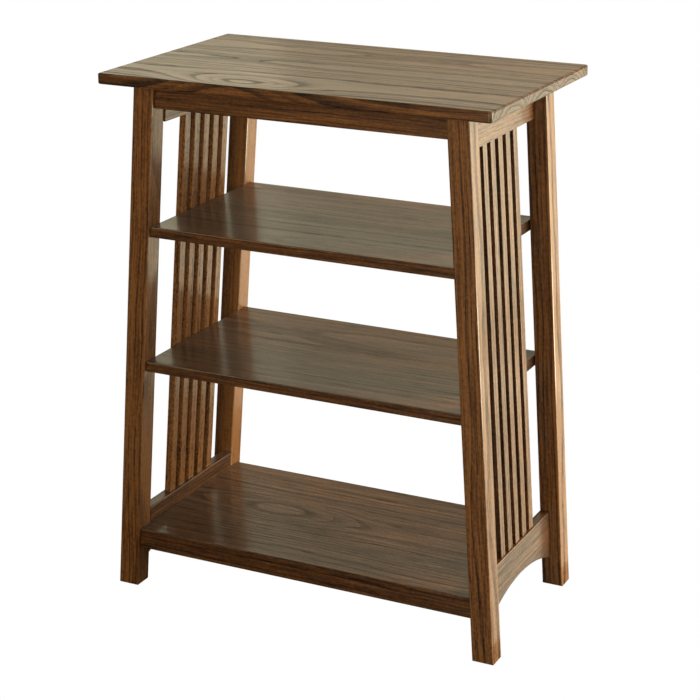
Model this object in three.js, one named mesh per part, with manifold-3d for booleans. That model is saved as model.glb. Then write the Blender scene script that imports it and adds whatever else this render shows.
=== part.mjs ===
// Atlas stand in stained oak: two leaning slatted end frames, an overhanging flat top,
// two thin shelves and a thick bottom shelf, all held by fixed joinery.
// Millimetres. +X is to the right, -Y to the front, +Z up. The origin is on the floor,
// under the middle of the top.
import * as THREE from 'three';
import { mergeVertices } from 'three/addons/utils/BufferGeometryUtils.js';
import Module from 'manifold-3d';

const wasm = await Module();
wasm.setup();

// Driving dimensions of the stand
const standHeight = 965;
const footSpread = 751; // over the outer faces of the legs, at the floor
const frameDepth = 383; // over the front and back faces of the legs
const leanAngle = THREE.MathUtils.degToRad(4.08);
const topWide = 719;
const topDeep = 450;

// Stock that the pieces are cut from
const boardThick = 19; // top, aprons, rails and thin shelves
const bottomShelfThick = 38;
const legSize = 39;
const slatWide = 19;
const slatThick = 12.5;

// Heights of the horizontal members
const upperShelfTop = 695;
const lowerShelfTop = 444.5;
const bottomShelfTop = 115;
const apronHeight = 41.5;
const upperRailBottom = 876;
const lowerRailTop = 145.5;
const lowerRailBottom = 53; // where the arch springs from the legs
const archRise = 33;

// Places in depth and in the thickness of the end frames
const apronSetback = 7; // behind the front faces of the legs
const shelfFrontSetback = 5;
const shelfBackSetback = 12;
const upperRailProud = 3; // stands inside the inner faces of the legs
const lowerRailProud = 0;
const slatCount = 5;
const slatPitch = 34;

// Eased edges, as radii
const topEase = 3;
const topCorner = 6;
const legEase = 2;
const boardEase = 1.5;
const slatEase = 1.2;
const easeFacets = 2;

// Joinery
const seatGap = 0.3; // room left at every seated face
const railTenonLong = 15;
const tenonRoot = 5;
const apronTenonLong = 20;
const tenonThick = 9;
const tenonShoulder = 8; // wood left above and below a tenon
const slatTenonLong = 10;
const slatTenonWide = 14;
const slatTenonThick = 7;
const dowelRadius = 4;
const dowelLong = 36;
const dowelInRail = 12;
const shelfDowelFromMiddle = 170;
const railDowelFromMiddle = 105;
const dowelSides = 12;

// Cleats and screws that hold the top
const cleatLong = 240;
const cleatSize = 19;
const screwFromMiddle = 80;
const screwRadius = 2;
const screwLong = 30;
const screwTip = 4;
const screwHeadRadius = 4.5;
const screwHeadThick = 2.5;
const screwSides = 12;

// Sizes that follow from the ones above
const legTop = standHeight - boardThick - seatGap;
const legMiddle = frameDepth / 2 - legSize / 2;
const legInnerDepth = frameDepth / 2 - legSize;
const innerFaceAtFloor = footSpread / 2 - legSize / Math.cos(leanAngle);
const apronBottom = standHeight - boardThick - apronHeight;
const apronMiddle = frameDepth / 2 - apronSetback - boardThick / 2;
const upperRailMiddle = boardThick / 2 - upperRailProud;
const lowerRailMiddle = boardThick / 2 - lowerRailProud;

// Where the inner faces of the legs stand at a height above the floor
const innerFaceAt = (height) => innerFaceAtFloor - height * Math.tan(leanAngle);

// Inside an end frame x runs outwards from the inner faces of the legs and z along the legs,
// so a level plane slopes down outwards there
const levelInFrame = (height, x) => height / Math.cos(leanAngle) - x * Math.tan(leanAngle);

const oak = new THREE.MeshStandardMaterial({ color: 0x5b3a22, roughness: 0.42, metalness: 0 });
const dowelWood = new THREE.MeshStandardMaterial({ color: 0xb48f5e, roughness: 0.7, metalness: 0 });
const steel = new THREE.MeshStandardMaterial({ color: 0x8d8d8c, roughness: 0.35, metalness: 1 });

// Shapes and solids

function outline(points) {
  return new THREE.Shape(points.map(([x, y]) => new THREE.Vector2(x, y)));
}

function roundedRectangle(wide, high, radius) {
  const right = wide / 2 - radius;
  const upper = high / 2 - radius;
  const quarter = Math.PI / 2;
  return new THREE.Shape()
    .absarc(right, upper, radius, 0, quarter)
    .absarc(-right, upper, radius, quarter, 2 * quarter)
    .absarc(-right, -upper, radius, 2 * quarter, 3 * quarter)
    .absarc(right, -upper, radius, 3 * quarter, 4 * quarter);
}

// An extrusion that is centred along its length and eased round both of its end faces
function easedExtrusion(shape, long, ease, curveSegments = easeFacets) {
  const straight = long - 2 * ease;
  return new THREE.ExtrudeGeometry(shape, {
    depth: straight,
    bevelEnabled: ease > 0,
    bevelThickness: ease,
    bevelSize: ease,
    bevelOffset: -ease,
    bevelSegments: easeFacets,
    curveSegments,
  }).translate(0, 0, -straight / 2);
}

const axisX = new THREE.Vector3(1, 0, 0);
const axisY = new THREE.Vector3(0, 1, 0);
const axisZ = new THREE.Vector3(0, 0, 1);

// Turns an outline drawn in x and z, and extruded in depth
function standingAcross(geometry) {
  return geometry.applyMatrix4(new THREE.Matrix4().makeBasis(axisX, axisZ, axisY.clone().negate()));
}

// Turns an outline drawn in y and z, and extruded in width
function standingAlong(geometry) {
  return geometry.applyMatrix4(new THREE.Matrix4().makeBasis(axisY, axisZ, axisX));
}

function block(wide, deep, high, x, y, z) {
  return new THREE.BoxGeometry(wide, deep, high).translate(x, y, z);
}

function rodAlongX(radius, long, x, y, z) {
  return new THREE.CylinderGeometry(radius, radius, long, dowelSides).rotateZ(Math.PI / 2).translate(x, y, z);
}

function toSolid(geometry) {
  const bare = geometry.clone();
  bare.deleteAttribute('normal');
  bare.deleteAttribute('uv');
  const merged = mergeVertices(bare);
  return new wasm.Manifold(new wasm.Mesh({
    numProp: 3,
    vertProperties: new Float32Array(merged.attributes.position.array),
    triVerts: new Uint32Array(merged.index.array),
  }));
}

function toGeometry(manifold) {
  const mesh = manifold.getMesh();
  const geometry = new THREE.BufferGeometry();
  geometry.setAttribute('position', new THREE.BufferAttribute(mesh.vertProperties, 3));
  geometry.setIndex(new THREE.BufferAttribute(mesh.triVerts, 1));
  geometry.computeVertexNormals();
  return geometry;
}

// Joins the first geometry with others, then cuts the sockets out of it
function joinAndCut(geometry, added, sockets) {
  let body = toSolid(geometry);
  for (const piece of added) {
    body = body.add(toSolid(piece));
  }
  for (const socket of sockets) {
    body = body.subtract(toSolid(socket));
  }
  return toGeometry(body);
}

function named(name, geometry, material) {
  const mesh = new THREE.Mesh(geometry, material);
  mesh.name = name;
  return mesh;
}

// Tenons, dowels and screws, each also used grown as the socket that takes it

const rows = { front: -1, back: 1 };
const sides = { left: -1, right: 1 };

// A rail has a tenon at each end, rooted a little way inside the rail
function railTenons(middle, low, high, grown) {
  const root = legInnerDepth - tenonRoot;
  const tip = legInnerDepth + railTenonLong + grown;
  return Object.values(rows).map((row) => block(
    tenonThick + 2 * grown, tip - root, high - low + 2 * grown,
    middle, row * (root + tip) / 2, (low + high) / 2,
  ));
}

function upperRailTenons(grown) {
  const low = levelInFrame(upperRailBottom, 0) + tenonShoulder;
  const high = levelInFrame(legTop, upperRailMiddle) - tenonShoulder;
  return railTenons(upperRailMiddle, low, high, grown);
}

function lowerRailTenons(grown) {
  const low = levelInFrame(lowerRailBottom, 0) + tenonShoulder;
  const high = levelInFrame(lowerRailTop, 0) - tenonShoulder;
  return railTenons(lowerRailMiddle, low, high, grown);
}

function apronTenon(row, grown) {
  const low = apronBottom + tenonShoulder;
  const high = legTop - tenonShoulder;
  const middle = (low + high) / 2;
  const long = 2 * (innerFaceAt(middle) + apronTenonLong);
  return block(long + 2 * grown, tenonThick + 2 * grown, high - low + 2 * grown,
    0, rows[row] * apronMiddle, middle);
}

// The two thin shelves are dowelled to the legs, the bottom shelf to the lower rails
const shelves = {
  upper_shelf: {
    top: upperShelfTop, thick: boardThick, dowelFromMiddle: shelfDowelFromMiddle, dowelOutside: dowelLong / 2,
  },
  lower_shelf: {
    top: lowerShelfTop, thick: boardThick, dowelFromMiddle: shelfDowelFromMiddle, dowelOutside: dowelLong / 2,
  },
  bottom_shelf: {
    top: bottomShelfTop, thick: bottomShelfThick, dowelFromMiddle: railDowelFromMiddle, dowelOutside: dowelInRail,
  },
};

function shelfDowel(shelf, side, row, grown) {
  const height = shelf.top - shelf.thick / 2;
  const middle = innerFaceAt(height) + shelf.dowelOutside - dowelLong / 2;
  return rodAlongX(dowelRadius + grown, dowelLong + 2 * grown,
    sides[side] * middle, rows[row] * shelf.dowelFromMiddle, height);
}

const cleatOuterFace = -upperRailProud - seatGap;
const cleatMiddle = cleatOuterFace - cleatSize / 2;
const cleatBottom = levelInFrame(legTop, cleatMiddle) - cleatSize;

// A round-headed screw under a cleat, standing up into the top, in its end frame
function cleatScrew(row, grown) {
  const radius = screwRadius + grown;
  const headRadius = screwHeadRadius + grown;
  const end = screwLong + grown;
  const profile = [
    [0, -screwHeadThick - grown],
    [headRadius, -screwHeadThick - grown],
    [headRadius, 0],
    [radius, 0],
    [radius, end - screwTip],
    [0, end],
  ].map(([x, y]) => new THREE.Vector2(x, y));
  return new THREE.LatheGeometry(profile, screwSides)
    .rotateX(Math.PI / 2)
    .translate(cleatMiddle, rows[row] * screwFromMiddle, cleatBottom - seatGap);
}

// End frames

function slatPlace(index) {
  return (index - (slatCount - 1) / 2) * slatPitch;
}

// Slats lean from the middle of the lower rail to the middle of the upper one
const slatLow = levelInFrame(lowerRailTop, 0);
const slatHigh = levelInFrame(upperRailBottom, 0);
const slatTilt = Math.atan2(upperRailMiddle - lowerRailMiddle, slatHigh - slatLow);

function slatTenon(railMiddle, place, level, grown) {
  return block(slatTenonThick + 2 * grown, slatTenonWide + 2 * grown, 2 * slatTenonLong + 2 * grown,
    railMiddle, place, level);
}

function makeSlat() {
  const long = slatHigh - slatLow;
  const body = easedExtrusion(roundedRectangle(slatThick, slatWide, slatEase), long - 2 * seatGap, 0);
  const core = block(slatTenonThick, slatTenonWide, long + 2 * slatTenonLong - 2 * seatGap, 0, 0, 0);
  return joinAndCut(body, [core], []);
}

function makeLeg(side, row, frame) {
  const inner = 0;
  const outer = legSize;
  const profile = outline([
    [inner, levelInFrame(0, inner)],
    [outer, levelInFrame(0, outer)],
    [outer, levelInFrame(legTop, outer)],
    [inner, levelInFrame(legTop, inner)],
  ]);
  const post = standingAcross(easedExtrusion(profile, legSize, legEase));
  post.translate(0, sides[side] * rows[row] * legMiddle, 0);
  const intoFrame = frame.matrixWorld.clone().invert();
  const sockets = [
    ...upperRailTenons(seatGap),
    ...lowerRailTenons(seatGap),
    apronTenon(row, seatGap).applyMatrix4(intoFrame),
    shelfDowel(shelves.upper_shelf, side, row, seatGap).applyMatrix4(intoFrame),
    shelfDowel(shelves.lower_shelf, side, row, seatGap).applyMatrix4(intoFrame),
  ];
  return joinAndCut(post, [], sockets);
}

function makeUpperRail() {
  const inner = -upperRailProud;
  const outer = inner + boardThick;
  const low = levelInFrame(upperRailBottom, 0);
  const profile = outline([
    [inner, low],
    [outer, low],
    [outer, levelInFrame(legTop, outer)],
    [inner, levelInFrame(legTop, inner)],
  ]);
  const rail = standingAcross(easedExtrusion(profile, 2 * (legInnerDepth - seatGap), 0));
  const sockets = [];
  for (let index = 0; index < slatCount; index += 1) {
    sockets.push(slatTenon(upperRailMiddle, slatPlace(index), slatHigh, seatGap));
  }
  return joinAndCut(rail, upperRailTenons(0), sockets);
}

// The underside of the lower rail is one shallow arc from leg to leg
const archFacets = 24;

function makeLowerRail(side, frame) {
  const half = legInnerDepth - seatGap;
  const low = levelInFrame(lowerRailBottom, 0);
  const high = levelInFrame(lowerRailTop, 0);
  const radius = (half * half + archRise * archRise) / (2 * archRise);
  const centre = low + archRise - radius;
  const swing = Math.asin(half / radius);
  const profile = new THREE.Shape();
  profile.moveTo(half, high);
  profile.lineTo(-half, high);
  profile.absarc(0, centre, radius, Math.PI / 2 + swing, Math.PI / 2 - swing, true);
  const rail = standingAlong(easedExtrusion(profile, boardThick, boardEase, archFacets));
  rail.translate(lowerRailMiddle, 0, 0);
  const intoFrame = frame.matrixWorld.clone().invert();
  const sockets = [];
  for (let index = 0; index < slatCount; index += 1) {
    sockets.push(slatTenon(lowerRailMiddle, slatPlace(index), slatLow, seatGap));
  }
  for (const row of Object.keys(rows)) {
    sockets.push(shelfDowel(shelves.bottom_shelf, side, row, seatGap).applyMatrix4(intoFrame));
  }
  return joinAndCut(rail, lowerRailTenons(0), sockets);
}

// A strip glued inside the upper rail, through which the top is screwed on
function makeCleat() {
  const outer = cleatOuterFace;
  const inner = outer - cleatSize;
  const profile = outline([
    [inner, cleatBottom],
    [outer, cleatBottom],
    [outer, levelInFrame(legTop, outer)],
    [inner, levelInFrame(legTop, inner)],
  ]);
  const cleat = standingAcross(easedExtrusion(profile, cleatLong, 0));
  return joinAndCut(cleat, [], Object.keys(rows).map((row) => cleatScrew(row, seatGap)));
}

// An end frame's own group leans inwards, inside a group that faces it left or right
function makeEndFrame(side) {
  const facing = new THREE.Group();
  facing.rotation.z = side === 'right' ? 0 : Math.PI;
  const frame = new THREE.Group();
  frame.position.x = innerFaceAtFloor;
  frame.rotation.y = -leanAngle;
  facing.add(frame);
  facing.updateMatrixWorld(true);

  for (const row of Object.keys(rows)) {
    frame.add(named(`leg_${row}_${side}`, makeLeg(side, row, frame), oak));
    frame.add(named(`cleat_screw_${row}_${side}`, cleatScrew(row, 0), steel));
  }
  frame.add(named(`upper_rail_${side}`, makeUpperRail(), oak));
  frame.add(named(`lower_rail_${side}`, makeLowerRail(side, frame), oak));
  frame.add(named(`top_cleat_${side}`, makeCleat(), oak));
  for (let index = 0; index < slatCount; index += 1) {
    const fromFront = side === 'right' ? index + 1 : slatCount - index;
    const slat = named(`slat_${fromFront}_${side}`, makeSlat(), oak);
    slat.position.set((upperRailMiddle + lowerRailMiddle) / 2, slatPlace(index), (slatLow + slatHigh) / 2);
    slat.rotation.y = slatTilt;
    frame.add(slat);
  }
  return { facing, frame };
}

// Boards that run from end to end

// A board whose ends are cut to the lean of the legs
function boardBetweenLegs(bottom, top, deep, middle) {
  const profile = outline([
    [-innerFaceAt(bottom) + seatGap, bottom],
    [innerFaceAt(bottom) - seatGap, bottom],
    [innerFaceAt(top) - seatGap, top],
    [-innerFaceAt(top) + seatGap, top],
  ]);
  return standingAcross(easedExtrusion(profile, deep, boardEase)).translate(0, middle, 0);
}

function makeApron(row) {
  const board = boardBetweenLegs(apronBottom, legTop, boardThick, rows[row] * apronMiddle);
  return joinAndCut(board, [apronTenon(row, 0)], []);
}

function makeShelf(shelf) {
  const front = -frameDepth / 2 + shelfFrontSetback;
  const back = frameDepth / 2 - shelfBackSetback;
  const board = boardBetweenLegs(shelf.top - shelf.thick, shelf.top, back - front, (front + back) / 2);
  const sockets = [];
  for (const side of Object.keys(sides)) {
    for (const row of Object.keys(rows)) {
      sockets.push(shelfDowel(shelf, side, row, seatGap));
    }
  }
  return joinAndCut(board, [], sockets);
}

function makeTop(endFrames) {
  const board = easedExtrusion(roundedRectangle(topWide, topDeep, topCorner), boardThick, topEase);
  board.translate(0, 0, standHeight - boardThick / 2);
  const sockets = [];
  for (const { frame } of endFrames) {
    for (const row of Object.keys(rows)) {
      sockets.push(cleatScrew(row, seatGap).applyMatrix4(frame.matrixWorld));
    }
  }
  return joinAndCut(board, [], sockets);
}

const stand = new THREE.Group();
const endFrames = Object.keys(sides).map(makeEndFrame);
for (const { facing } of endFrames) {
  stand.add(facing);
}
stand.add(named('top_board', makeTop(endFrames), oak));
for (const row of Object.keys(rows)) {
  stand.add(named(`apron_${row}`, makeApron(row), oak));
}
for (const [name, shelf] of Object.entries(shelves)) {
  stand.add(named(name, makeShelf(shelf), oak));
  for (const side of Object.keys(sides)) {
    for (const row of Object.keys(rows)) {
      stand.add(named(`dowel_${name}_${row}_${side}`, shelfDowel(shelf, side, row, 0), dowelWood));
    }
  }
}

export default stand;
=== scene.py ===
"""Looks of the atlas stand: stained oak, floor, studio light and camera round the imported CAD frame."""
import math

import bpy
from mathutils import Matrix, Vector


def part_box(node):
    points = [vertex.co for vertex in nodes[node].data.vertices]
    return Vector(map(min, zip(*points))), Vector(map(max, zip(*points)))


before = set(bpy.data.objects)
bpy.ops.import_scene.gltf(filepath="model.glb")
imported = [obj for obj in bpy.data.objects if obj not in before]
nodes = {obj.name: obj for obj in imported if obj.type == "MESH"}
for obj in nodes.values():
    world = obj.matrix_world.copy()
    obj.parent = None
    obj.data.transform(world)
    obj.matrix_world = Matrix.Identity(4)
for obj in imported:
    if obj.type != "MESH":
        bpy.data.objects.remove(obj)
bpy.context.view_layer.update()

SIDES = ("left", "right")
ROWS = ("front", "back")
SLATS = range(1, 6)
SHELVES = ("upper_shelf", "lower_shelf", "bottom_shelf")

# Camera, from the perspective of the photograph
IMAGE_WIDE = 700
FOCAL_PIXELS = 1929.24
SENSOR_MM = 36.0
VIEW_AZIMUTH = math.radians(25.87)
VIEW_ELEVATION = math.radians(18.83)
VIEW_ROLL = math.radians(0.15)
VIEW_DISTANCE = 3.4662
VIEW_TARGET = Vector((0.0093, 0.0, 0.4569))
VIEW_REACH = 100.0

# Directions of the boards
ALONG_X = Vector((1, 0, 0))
ALONG_Y = Vector((0, 1, 0))
UPRIGHT = Vector((0, 0, 1))


class Nodes:
    """Adds nodes to one tree: a socket given as an input is linked, any other value is set."""

    def __init__(self, tree):
        self.tree = tree

    def add(self, kind, inputs=(), **settings):
        node = self.tree.nodes.new(kind)
        for name, value in settings.items():
            setattr(node, name, value)
        self.fill(node, inputs)
        return node

    def fill(self, node, inputs):
        for key, value in dict(inputs).items():
            if isinstance(value, bpy.types.NodeSocket):
                self.tree.links.new(value, node.inputs[key])
            else:
                node.inputs[key].default_value = value

    def math(self, operation, *values, clamp=False):
        node = self.add("ShaderNodeMath", enumerate(values), operation=operation, use_clamp=clamp)
        return node.outputs[0]

    def weighted(self, base, pattern, share, clamp=False):
        """A base value with a share of a pattern added to it."""
        return self.math("MULTIPLY_ADD", pattern, share, base, clamp=clamp)

    def swung(self, base, pattern, share, clamp=False):
        """A base value that a pattern between 0 and 1 swings to both sides."""
        return self.weighted(base, self.math("SUBTRACT", pattern, 0.5), share, clamp)

    def sine(self, value, rate):
        return self.math("SINE", self.math("MULTIPLY", value, rate))

    def vector(self, operation, *values):
        node = self.add("ShaderNodeVectorMath", enumerate(values), operation=operation)
        gives_number = operation in ("DOT_PRODUCT", "LENGTH")
        return node.outputs["Value" if gives_number else "Vector"]

    def combine(self, x, y, z):
        return self.add("ShaderNodeCombineXYZ", {0: x, 1: y, 2: z}).outputs[0]

    def split(self, place):
        parts = self.add("ShaderNodeSeparateXYZ", {0: place}).outputs
        return parts[0], parts[1], parts[2]

    def stretched(self, x, y, z, shift, rate):
        """A place whose three coordinates are scaled on their own and shifted by a seed."""
        along = self.math("MULTIPLY_ADD", x, rate[0], shift)
        across = self.math("MULTIPLY_ADD", y, rate[1], shift)
        through = self.math("MULTIPLY", z, rate[2])
        return self.combine(along, across, through)

    def noise(self, place, detail=2.0, roughness=0.5):
        sockets = {"Vector": place, "Scale": 1.0, "Detail": detail, "Roughness": roughness}
        return self.add("ShaderNodeTexNoise", sockets).outputs["Fac"]

    def remap(self, value, low, high, to_low=0.0, to_high=1.0, curve="LINEAR"):
        sockets = {0: value, 1: low, 2: high, 3: to_low, 4: to_high}
        return self.add("ShaderNodeMapRange", sockets, interpolation_type=curve).outputs[0]

    def ramp(self, factor, stops, interpolation="LINEAR"):
        node = self.add("ShaderNodeValToRGB", {0: factor})
        node.color_ramp.interpolation = interpolation
        elements = node.color_ramp.elements
        while len(elements) < len(stops):
            elements.new(1.0)
        for element, (position, colour) in zip(elements, stops):
            element.position = position
            element.color = (*colour, 1.0)
        return node.outputs["Color"]


def new_material(name):
    material = bpy.data.materials.new(name)
    material.use_nodes = True
    material.node_tree.nodes.clear()
    return material, Nodes(material.node_tree)


def grey(value):
    return (value, value, value)


# The oak's patterns: how often each repeats in a metre, along the grain, across it and through the board
PORE_RATE = (26.0, 640.0, 640.0)
FINE_RATE = (14.0, 420.0, 420.0)
FIBRE_RATE = (6.0, 240.0, 240.0)
SPECKLE_RATE = (150.0, 200.0, 200.0)
WAVE_RATE = (2.6, 6.0, 6.0)
WOBBLE_RATE = (13.0, 45.0, 45.0)
CLOUD_RATE = (3.0, 11.0, 11.0)
STREAKY = 0.6

# Staves of a glued board: each draws its own values from a seed
STAVE_STEP = 5.17
SWAY_RATE = 1.7
DEPTH_RATE = 2.3
SHADE_RATE = 3.1
PITH_SWAY = 0.35
PITH_SPREAD = 0.35

# Growth rings, in metres and in years, and the eye that they close round
WOBBLE = 0.0016
BOTH_SIDES = 2.0
EYE_LONG = 0.125
EYE_WIDE = 0.055
UNEVEN_RATE = 0.45
UNEVEN_YEARS = 2.2
YEAR_STEP = 2.4
YEAR_MARK = 0.70
YEAR_SPREAD = 0.30
BAND_RATE = 0.3
BAND_LAYER = 5.0
PORE_START = 0.50
PORE_FULL = 0.66
GRAIN_CLOSED = 0.6
GRAIN_PORES = 0.5

# How dark one year's wood is from spring to winter, and the stain from its darkest to its lightest
EARLY_WOOD = ((0.0, grey(1.0)), (0.16, grey(0.90)), (0.36, grey(0.35)), (0.62, grey(0.08)),
              (0.93, grey(0.0)), (1.0, grey(1.0)))
STAIN = ((0.0, (0.0040, 0.0010, 0.0002)), (0.25, (0.0138, 0.0043, 0.0009)),
         (0.50, (0.0340, 0.0114, 0.0025)), (0.75, (0.0595, 0.0213, 0.0052)),
         (1.0, (0.0985, 0.0385, 0.0105)))

# Lightness of the stained wood, and how much each pattern adds to it
BASE_LIGHT = 0.88
LIGHT_GRAIN = -0.95
LIGHT_PORES = -0.22
LIGHT_FIBRES = 1.15
LIGHT_FINE = 0.85
LIGHT_CLOUDS = 0.25
LIGHT_BANDS = 0.20
LIGHT_STAVE = 0.04
LIGHT_END = -0.32

# Finish: roughness of the wood, pits in it, and a thin clear coat
ROUGHNESS = 0.40
ROUGH_GRAIN = 0.20
ROUGH_CLOUDS = 0.10
PIT_PORES = 0.35
PIT_DEPTH = 0.0001
PIT_STRENGTH = 0.3
COAT = 0.68
COAT_PITS = -0.65
COAT_FIBRES = 0.7
COAT_END = -0.18
COAT_ROUGHNESS = 0.19
SPECULAR = 0.15
END_START = 0.6
END_FULL = 0.9


def oak_stave(n, given, across):
    """One stave: its seed, the place across it, and its pith's place across and depth."""
    number = n.math("FLOOR", n.math("ADD", n.math("DIVIDE", across, given["Stave"]), 0.5))
    in_stave = n.math("SUBTRACT", across, n.math("MULTIPLY", number, given["Stave"]))
    seed = n.math("MULTIPLY_ADD", number, STAVE_STEP, given["Seed"])
    sway = n.math("MULTIPLY", given["Stave"], PITH_SWAY)
    pith_across = n.math("MULTIPLY", n.sine(seed, SWAY_RATE), sway)
    depth = n.weighted(1.0, n.sine(seed, DEPTH_RATE), PITH_SPREAD)
    pith_depth = n.math("MULTIPLY", given["Pith"], depth)
    return seed, in_stave, pith_across, pith_depth


def eye_pull(n, eye, along, across):
    """How far the rings are pulled in towards the eye on a board's face."""
    eye_along, eye_across, strength = n.split(eye)
    far_along = n.math("DIVIDE", n.math("SUBTRACT", along, eye_along), EYE_LONG)
    far_across = n.math("DIVIDE", n.math("SUBTRACT", across, eye_across), EYE_WIDE)
    far = n.math("MULTIPLY_ADD", far_along, far_along, n.math("MULTIPLY", far_across, far_across))
    return n.math("MULTIPLY", n.math("EXPONENT", n.math("MULTIPLY", far, -1.0)), strength)


def oak_years(n, given, place, stave):
    """Growth years counted out from the pith, waving along the grain and closing round the eye."""
    along, across, through = place
    seed, in_stave, pith_across, pith_depth = stave
    wave = n.noise(n.stretched(along, in_stave, through, seed, WAVE_RATE), detail=1.0)
    wobble = n.noise(n.stretched(along, in_stave, through, seed, WOBBLE_RATE))
    from_pith = n.combine(n.math("SUBTRACT", in_stave, pith_across), n.math("ADD", through, pith_depth), 0.0)
    radius = n.vector("LENGTH", from_pith)
    radius = n.swung(radius, wave, n.math("MULTIPLY", given["Wave"], BOTH_SIDES))
    radius = n.swung(radius, wobble, BOTH_SIDES * WOBBLE)
    radius = n.math("SUBTRACT", radius, eye_pull(n, given["Eye"], along, across))
    years = n.math("DIVIDE", radius, given["Ring"])
    uneven = n.noise(n.combine(n.math("MULTIPLY", years, UNEVEN_RATE), seed, 0.0), detail=1.0)
    return n.weighted(years, uneven, UNEVEN_YEARS)


def oak_open_grain(n, given, years, seed, pores):
    """Dark open grain of each year's early wood, stronger in some years and where pores are."""
    early = n.ramp(n.math("FRACT", years), EARLY_WOOD, "EASE")
    year_shade = n.math("SINE", n.weighted(seed, n.math("FLOOR", years), YEAR_STEP))
    mark = n.math("MULTIPLY", early, n.weighted(YEAR_MARK, year_shade, YEAR_SPREAD))
    mark = n.math("MULTIPLY", mark, given["Mark"])
    return n.math("MULTIPLY", mark, n.weighted(GRAIN_CLOSED, pores, GRAIN_PORES))


def make_oak_group():
    """Solid oak: growth rings round a pith that runs along the board, pores, fibres and speckles."""
    tree = bpy.data.node_groups.new("stained_oak", "ShaderNodeTree")
    for name in ("Place", "Eye"):
        tree.interface.new_socket(name, in_out="INPUT", socket_type="NodeSocketVector")
    for name in ("Stave", "Seed", "Pith", "Ring", "Wave", "Mark", "Tone", "Speckle", "End"):
        tree.interface.new_socket(name, in_out="INPUT", socket_type="NodeSocketFloat")
    tree.interface.new_socket("Colour", in_out="OUTPUT", socket_type="NodeSocketColor")
    for name in ("Roughness", "Height", "Coat"):
        tree.interface.new_socket(name, in_out="OUTPUT", socket_type="NodeSocketFloat")
    n = Nodes(tree)
    given = n.add("NodeGroupInput").outputs
    place = n.split(given["Place"])
    stave = oak_stave(n, given, place[1])
    seed = stave[0]

    # Patterns
    pores = n.noise(n.stretched(*place, seed, PORE_RATE), roughness=STREAKY)
    pores = n.remap(pores, PORE_START, PORE_FULL)
    fine = n.noise(n.stretched(*place, seed, FINE_RATE), roughness=STREAKY)
    fibres = n.noise(n.stretched(*place, seed, FIBRE_RATE), roughness=STREAKY)
    speckles = n.noise(n.stretched(*place, seed, SPECKLE_RATE), detail=1.0)
    clouds = n.noise(n.stretched(*place, seed, CLOUD_RATE))
    years = oak_years(n, given, place, stave)
    bands = n.noise(n.combine(n.math("MULTIPLY", years, BAND_RATE), seed, BAND_LAYER), detail=1.0)
    open_grain = oak_open_grain(n, given, years, seed, pores)

    # Colour of the stain
    light = n.weighted(BASE_LIGHT, open_grain, LIGHT_GRAIN)
    light = n.weighted(light, pores, LIGHT_PORES)
    light = n.swung(light, fibres, LIGHT_FIBRES)
    light = n.swung(light, fine, LIGHT_FINE)
    light = n.swung(light, speckles, given["Speckle"])
    light = n.swung(light, clouds, LIGHT_CLOUDS)
    light = n.swung(light, bands, LIGHT_BANDS)
    light = n.weighted(light, n.sine(seed, SHADE_RATE), LIGHT_STAVE)
    light = n.weighted(light, given["End"], LIGHT_END)
    # Tone shifts a whole piece lighter or darker: painted light and shade on the legs, slats, rails, aprons
    # and shelves
    light = n.math("ADD", light, given["Tone"], clamp=True)
    colour = n.ramp(light, STAIN)

    # Finish
    roughness = n.weighted(ROUGHNESS, open_grain, ROUGH_GRAIN)
    roughness = n.weighted(roughness, clouds, ROUGH_CLOUDS)
    pits = n.weighted(open_grain, pores, PIT_PORES)
    height = n.math("MULTIPLY", pits, -1.0)
    coat = n.weighted(COAT, pits, COAT_PITS)
    coat = n.swung(coat, fibres, COAT_FIBRES, clamp=True)
    coat = n.weighted(coat, given["End"], COAT_END, clamp=True)
    n.add("NodeGroupOutput", {"Colour": colour, "Roughness": roughness, "Height": height, "Coat": coat})
    return tree


OAK = make_oak_group()
NO_EYE = (0.0, 0.0, 0.0)
ONE_BOARD = 1.0


def oak_material(name, middle, along, across, seed, stave=ONE_BOARD, pith=0.07, ring=0.0045, wave=0.010,
                 mark=0.5, tone=0.0, speckle=0.5, eye=NO_EYE):
    """Stained oak for one board, whose grain runs along one direction and whose width runs across it."""
    material, n = new_material(name)
    texture = n.add("ShaderNodeTexCoord").outputs
    centred = n.vector("SUBTRACT", texture["Object"], middle)
    through = along.cross(across)
    place = n.combine(*(n.vector("DOT_PRODUCT", centred, axis) for axis in (along, across, through)))
    end_on = n.math("ABSOLUTE", n.vector("DOT_PRODUCT", texture["Normal"], along))
    end = n.remap(end_on, END_START, END_FULL)
    oak = n.add("ShaderNodeGroup", node_tree=OAK)
    n.fill(oak, {"Place": place, "Eye": eye, "Stave": stave, "Seed": seed, "Pith": pith, "Ring": ring,
                 "Wave": wave, "Mark": mark, "Tone": tone, "Speckle": speckle, "End": end})
    bump = n.add("ShaderNodeBump", {"Height": oak.outputs["Height"], "Strength": PIT_STRENGTH,
                                    "Distance": PIT_DEPTH})
    shader = n.add("ShaderNodeBsdfPrincipled", {
        "Base Color": oak.outputs["Colour"], "Roughness": oak.outputs["Roughness"],
        "Normal": bump.outputs[0], "Specular IOR Level": SPECULAR,
        "Coat Weight": oak.outputs["Coat"], "Coat Roughness": COAT_ROUGHNESS})
    n.add("ShaderNodeOutputMaterial", {"Surface": shader.outputs[0]})
    return material


def dress(name, material):
    """Gives a CAD node one material."""
    mesh = nodes[name].data
    mesh.materials.clear()
    mesh.materials.append(material)


def dress_oak(name, along, across, **figure):
    """Gives a board an oak of its own, centred on the board."""
    low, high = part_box(name)
    dress(name, oak_material(name + "_oak", (low + high) / 2, along, across, **figure))


# Height of the band at the foot and at the head of an upright that gives its lean
LEAN_BAND = 0.02


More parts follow.
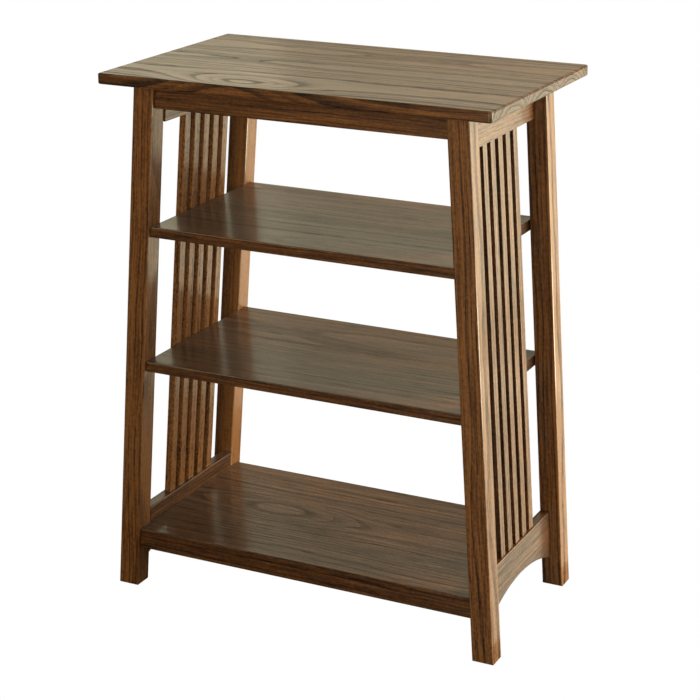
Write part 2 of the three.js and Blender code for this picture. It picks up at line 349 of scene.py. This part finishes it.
def lean_of(name):
    """Direction of a leaning upright, from the middles of its foot and its head."""
    points = [v.co for v in nodes[name].data.vertices]
    low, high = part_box(name)
    foot = [p for p in points if p.z < low.z + LEAN_BAND]
    head = [p for p in points if p.z > high.z - LEAN_BAND]
    return (sum(head, Vector()) / len(head) - sum(foot, Vector()) / len(foot)).normalized()


# Eyes of oval rings: their place along and across the board, and how far they pull the rings in
TOP_EYE = (-0.11, -0.20, 0.042)
BOTTOM_EYE = (-0.13, 0.015, 0.024)

# Flat boards glued from staves: the top and the shelves; the shelves' tones are painted shade, each shelf
# darker the lower it sits under the boards above
GLUED = {
    "top_board": dict(stave=0.165, seed=9.2, ring=0.010, mark=0.9, tone=-0.08, eye=TOP_EYE),
    "upper_shelf": dict(stave=0.125, seed=11.0, ring=0.0085, mark=0.4, tone=-0.19),
    "lower_shelf": dict(stave=0.135, seed=23.0, ring=0.0085, mark=0.4, tone=-0.23),
    "bottom_shelf": dict(stave=0.150, seed=37.0, ring=0.0080, mark=0.48, tone=-0.25, eye=BOTTOM_EYE),
}
for board, figure in GLUED.items():
    dress_oak(board, ALONG_X, ALONG_Y, **figure)

# Aprons: their tone darkens them, painted shade under the top's overhang
APRON_SEED = {"front": 41.0, "back": 43.0}
for row in ROWS:
    dress_oak(f"apron_{row}", ALONG_X, UPRIGHT, seed=APRON_SEED[row], ring=0.006, mark=0.6, tone=-0.17)

# End frames: what sets each leg, slat and rail apart, and their seeds; their tones are painted light and
# shade, lightening or darkening each piece for how the light falls on it
# Painted light: each leg's tone sets how bright it looks; the back left leg is lightened most, with weaker
# rings, where the top and shelves shade its front
LEG_FIGURE_AND_PAINTED_LIGHT = {
    ("front", "left"): dict(seed=51.0, mark=0.65, tone=0.05),
    ("back", "left"): dict(seed=53.0, mark=0.2, tone=0.10),
    ("front", "right"): dict(seed=55.0, mark=0.7, tone=0.03),
    ("back", "right"): dict(seed=57.0, mark=0.8, tone=0.04),
}
# Painted light and shade: the left slats are lightened and the right slats darkened for how the light falls
# on each end
SLAT_SPECKLE_AND_PAINTED_LIGHT = {"left": dict(speckle=1.8, tone=0.15), "right": dict(speckle=1.1, tone=-0.17)}
SLAT_SEED = {"left": 71.0, "right": 81.0}
# Painted shade: the rails are darkened, the lower ones most, for the shade low down, and the right rails
# also for the back legs' shadow
RAIL_PAINTED_SHADE = {
    "upper_rail_left": -0.05,
    "lower_rail_left": -0.28,
    "upper_rail_right": -0.12,
    "lower_rail_right": -0.40,
}
RAIL_SEED = {"left": 101.0, "right": 102.0}
CLEAT_SEED = {"left": 121.0, "right": 122.0}


def dress_end_frame(side):
    """Oak for the legs, slats, rails and cleat of one end."""
    for row in ROWS:
        leg = f"leg_{row}_{side}"
        up = lean_of(leg)
        figure = LEG_FIGURE_AND_PAINTED_LIGHT[row, side]
        dress_oak(leg, up, ALONG_Y.cross(up), ring=0.0085, wave=0.016, speckle=0.7, **figure)
    for i in SLATS:
        slat = f"slat_{i}_{side}"
        figure = SLAT_SPECKLE_AND_PAINTED_LIGHT[side]
        dress_oak(slat, lean_of(slat), ALONG_Y, seed=SLAT_SEED[side] + i, ring=0.0070, mark=0.6, **figure)
    lean = lean_of(f"leg_front_{side}")
    for rail in (f"upper_rail_{side}", f"lower_rail_{side}"):
        # The rail's tone is painted shade
        tone = RAIL_PAINTED_SHADE[rail]
        dress_oak(rail, ALONG_Y, lean, seed=RAIL_SEED[side], ring=0.0075, mark=0.5, speckle=0.8, tone=tone)
    dress_oak(f"top_cleat_{side}", ALONG_Y, UPRIGHT, seed=CLEAT_SEED[side])


for side in SIDES:
    dress_end_frame(side)

# Plain materials of the hidden fastenings: a pattern between two colours and two roughnesses
PATTERN_LOW = 0.3
PATTERN_HIGH = 0.7
DOWEL_RATE = (30.0, 900.0, 900.0)
DOWEL_SEED = 5.0
DOWEL_COLOURS = ((0.38, 0.21, 0.08), (0.56, 0.35, 0.16))
DOWEL_ROUGHNESS = (0.75, 0.6)
SCREW_RATE = (1500.0, 1500.0, 4000.0)
SCREW_SEED = 9.0
SCREW_COLOURS = ((0.42, 0.42, 0.41), (0.62, 0.62, 0.60))
SCREW_ROUGHNESS = (0.45, 0.28)
METAL = 1.0


def patterned_material(name, rate, seed, colours, roughnesses, metallic=0.0):
    """A material whose colour and roughness follow one stretched pattern."""
    material, n = new_material(name)
    place = n.split(n.add("ShaderNodeTexCoord").outputs["Object"])
    pattern = n.noise(n.stretched(*place, seed, rate))
    colour = n.ramp(pattern, tuple(zip((PATTERN_LOW, PATTERN_HIGH), colours)))
    roughness = n.remap(pattern, PATTERN_LOW, PATTERN_HIGH, *roughnesses)
    shader = n.add("ShaderNodeBsdfPrincipled", {
        "Base Color": colour, "Roughness": roughness, "Metallic": metallic})
    n.add("ShaderNodeOutputMaterial", {"Surface": shader.outputs[0]})
    return material


def dowel_material():
    """Pale unfinished dowel wood with fine streaks along X."""
    return patterned_material("pale_dowel_wood", DOWEL_RATE, DOWEL_SEED, DOWEL_COLOURS, DOWEL_ROUGHNESS)


def screw_material():
    """Brushed steel of the screws, with fine turned marks."""
    return patterned_material("screw_steel", SCREW_RATE, SCREW_SEED, SCREW_COLOURS, SCREW_ROUGHNESS, METAL)


PALE_WOOD = dowel_material()
STEEL = screw_material()
for side in SIDES:
    for row in ROWS:
        dress(f"cleat_screw_{row}_{side}", STEEL)
        for shelf in SHELVES:
            dress(f"dowel_{shelf}_{row}_{side}", PALE_WOOD)

# Stage
WARM_LIGHT = (1.0, 0.917, 0.65)
BODY_MIDDLE = (0, 0, 0.6)
FLOOR_REACH = 20.0
FLOOR_ROUGHNESS = 0.9
BLACK = 0.0
NO_GLOW = 0.0
FLOOR_GLOW = 1.0
FLOOR_BOUNCE = 0.09
GLOW_HEIGHT = 0.02
AMBIENT = 0.02
SKY_AXIS = Vector((-0.41, 0.85, 0.32)).normalized()
SKY_EDGE = 0.75
SKY_MIDDLE = 0.98
SKY_STRENGTH = 0.37


def make_floor(name, colour, glow, shows):
    """Plain pale floor: one sheet shows to the camera, and one gives light back to the stand."""
    mesh = bpy.data.meshes.new(name)
    corners = [(x * FLOOR_REACH, y * FLOOR_REACH, 0) for x, y in ((-1, -1), (1, -1), (1, 1), (-1, 1))]
    mesh.from_pydata(corners, [], [(0, 1, 2, 3)])
    floor = bpy.data.objects.new(name, mesh)
    floor.visible_camera = shows
    floor.visible_diffuse = not shows
    floor.visible_glossy = not shows
    floor.visible_shadow = False
    bpy.context.scene.collection.objects.link(floor)
    material, n = new_material(name)
    shader = n.add("ShaderNodeBsdfPrincipled", {
        "Base Color": (*grey(colour), 1.0), "Roughness": FLOOR_ROUGHNESS, "Specular IOR Level": 0.0,
        "Emission Color": (1.0, 1.0, 1.0, 1.0), "Emission Strength": glow})
    n.add("ShaderNodeOutputMaterial", {"Surface": shader.outputs[0]})
    mesh.materials.append(material)


def soft_light(name, place, wide, high, watts, aim=BODY_MIDDLE):
    """A rectangular soft light aimed at a point."""
    data = bpy.data.lights.new(name, "AREA")
    data.shape = "RECTANGLE"
    data.size = wide
    data.size_y = high
    data.energy = watts
    data.color = WARM_LIGHT
    light = bpy.data.objects.new(name, data)
    light.location = place
    light.rotation_euler = (Vector(aim) - Vector(place)).to_track_quat("-Z", "Y").to_euler()
    light.visible_camera = False
    bpy.context.scene.collection.objects.link(light)


def floor_glow(name, x, y, wide, deep, watts):
    """A bright patch of floor, which the glossy end faces mirror."""
    soft_light(name, (x, y, GLOW_HEIGHT), wide, deep, watts, aim=(x, y, 1.0))


def make_world():
    """Plain surroundings: one even light, and a soft glow behind the stand at the left."""
    world = bpy.data.worlds.new("studio")
    world.use_nodes = True
    world.node_tree.nodes.clear()
    n = Nodes(world.node_tree)
    direction = n.add("ShaderNodeTexCoord").outputs["Generated"]
    facing = n.vector("DOT_PRODUCT", direction, SKY_AXIS)
    glow = n.remap(facing, SKY_EDGE, SKY_MIDDLE, to_high=SKY_STRENGTH, curve="SMOOTHSTEP")
    strength = n.math("ADD", glow, AMBIENT)
    background = n.add("ShaderNodeBackground", {"Color": (*WARM_LIGHT, 1.0), "Strength": strength})
    n.add("ShaderNodeOutputWorld", {"Surface": background.outputs[0]})
    bpy.context.scene.world = world


def make_camera():
    """Camera at the photograph's angle, aimed at the target and turned by the small roll."""
    data = bpy.data.cameras.new("camera")
    data.sensor_width = SENSOR_MM
    data.lens = FOCAL_PIXELS / IMAGE_WIDE * SENSOR_MM
    data.clip_end = VIEW_REACH
    camera = bpy.data.objects.new("camera", data)
    level_reach = math.cos(VIEW_ELEVATION)
    out = Vector((math.sin(VIEW_AZIMUTH) * level_reach, -math.cos(VIEW_AZIMUTH) * level_reach,
                  math.sin(VIEW_ELEVATION)))
    level = (-out).to_track_quat("-Z", "Y").to_matrix().to_4x4()
    place = Matrix.Translation(VIEW_TARGET + out * VIEW_DISTANCE)
    camera.matrix_world = place @ level @ Matrix.Rotation(VIEW_ROLL, 4, "Z")
    bpy.context.scene.collection.objects.link(camera)
    bpy.context.scene.camera = camera


make_floor("floor", BLACK, FLOOR_GLOW, shows=True)
make_floor("floor_bounce", FLOOR_BOUNCE, NO_GLOW, shows=False)
make_world()

# Main light from the right and the back
soft_light("key_high", (2.5, 1.0, 2.0), wide=1.2, high=1.2, watts=185)
soft_light("key_top", (1.4, 0.9, 2.7), wide=1.2, high=1.2, watts=58)
soft_light("key_low", (2.2, 1.6, 0.8), wide=1.4, high=1.0, watts=85)
soft_light("low_right", (1.55, 0.45, 0.22), wide=0.9, high=0.35, watts=31, aim=(0.3, 0, 0.2))

# Weak light from the back, which the level boards and the end faces mirror
soft_light("back_right", (1.3, 1.9, 0.5), wide=1.4, high=0.9, watts=8)
soft_light("back_panel", (-1.2, 2.4, 2.0), wide=2.4, high=1.0, watts=5.4)
soft_light("back_left", (-2.0, 2.0, 1.9), wide=1.6, high=1.0, watts=3.0)
floor_glow("back_floor", 0.7, 2.0, wide=0.8, deep=1.6, watts=4.6)
floor_glow("right_floor", 0.84, 0.60, wide=0.9, deep=1.6, watts=5.2)
floor_glow("near_floor", 0.1, 1.15, wide=0.7, deep=1.1, watts=3.0)

# Fill from the front
soft_light("front_fill", (0.9, -2.2, 1.7), wide=1.5, high=1.0, watts=27)
soft_light("front_low", (0.65, -2.8, 1.0), wide=1.2, high=0.6, watts=72)
soft_light("left_fill", (-2.0, -2.6, 1.6), wide=1.5, high=1.2, watts=19)

make_camera()
bpy.context.scene.view_settings.view_transform = "Standard"
